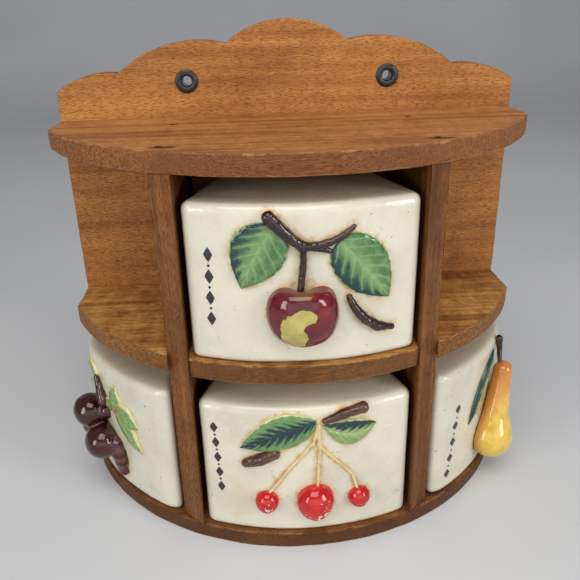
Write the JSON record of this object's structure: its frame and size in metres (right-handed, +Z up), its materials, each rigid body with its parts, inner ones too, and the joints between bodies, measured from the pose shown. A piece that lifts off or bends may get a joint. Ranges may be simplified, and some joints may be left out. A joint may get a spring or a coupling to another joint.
{
  "type": "spice rack",
  "caption": "Half-round wooden wall spice rack with a scalloped back board, open side bays and pull-out glazed ceramic drawers with fruit reliefs.",
  "frame": {"origin": "underside of the bottom shelf, in the rack's middle plane, halfway from the wall face to the front of the apple", "axes": "+X along the wall to the viewer's right, +Y into the wall, +Z up"},
  "size_m": [0.2602, 0.1313, 0.262],
  "materials": {
    "board_wood": "satin",
    "shelf_wood": "satin",
    "dark_wood": "satin",
    "black_metal": "gloss",
    "nail_steel": "dull",
    "white_glaze": "gloss",
    "apple_glaze": "gloss",
    "leaf_glaze": "gloss",
    "dark_leaf_glaze": "gloss",
    "twig_glaze": "gloss",
    "cherry_glaze": "gloss",
    "stem_glaze": "gloss",
    "grape_glaze": "gloss",
    "pear_glaze": "gloss"
  },
  "bodies": {
    "rack": {"back_board": "board_wood", "top_shelf": "shelf_wood", "middle_shelf": "shelf_wood", "bottom_shelf": "dark_wood", "left_divider": "dark_wood", "right_divider": "dark_wood", "left_eyelet": "black_metal", "right_eyelet": "black_metal", "top_nails": "nail_steel", "back_nails": "nail_steel", "bottom_nails": "nail_steel"},
    "apple": {"apple_drawer": "white_glaze", "apple_knob": "apple_glaze", "apple_branch": "twig_glaze", "apple_left_leaf": "leaf_glaze", "apple_right_leaf": "leaf_glaze", "apple_twig": "twig_glaze"},
    "cherry": {"cherry_drawer": "white_glaze", "cherry_left": "cherry_glaze", "cherry_middle": "cherry_glaze", "cherry_right": "cherry_glaze", "cherry_stems": "stem_glaze", "cherry_left_leaf": "leaf_glaze", "cherry_right_leaf": "leaf_glaze", "cherry_left_twig": "twig_glaze", "cherry_right_twig": "twig_glaze"},
    "grape": {"grape_drawer": "white_glaze", "grape_bunch": "grape_glaze", "grape_stem": "grape_glaze", "grape_upper_leaf": "leaf_glaze", "grape_lower_leaf": "leaf_glaze"},
    "pear": {"pear_drawer": "white_glaze", "pear_knob": "pear_glaze", "pear_twig": "twig_glaze", "pear_leaf": "dark_leaf_glaze"}
  },
  "joints": [
    {"name": "apple_slide", "type": "slide", "parent": "rack", "child": "apple", "axis": [0, -1, 0], "range_m": [0, 0.115]},
    {"name": "cherry_slide", "type": "slide", "parent": "rack", "child": "cherry", "axis": [0, -1, 0], "range_m": [0, 0.115]},
    {"name": "grape_slide", "type": "slide", "parent": "rack", "child": "grape", "axis": [-0.7071, -0.7071, 0], "range_m": [0, 0.085]},
    {"name": "pear_slide", "type": "slide", "parent": "rack", "child": "pear", "axis": [0.7071, -0.7071, 0], "range_m": [0, 0.085]}
  ]
}
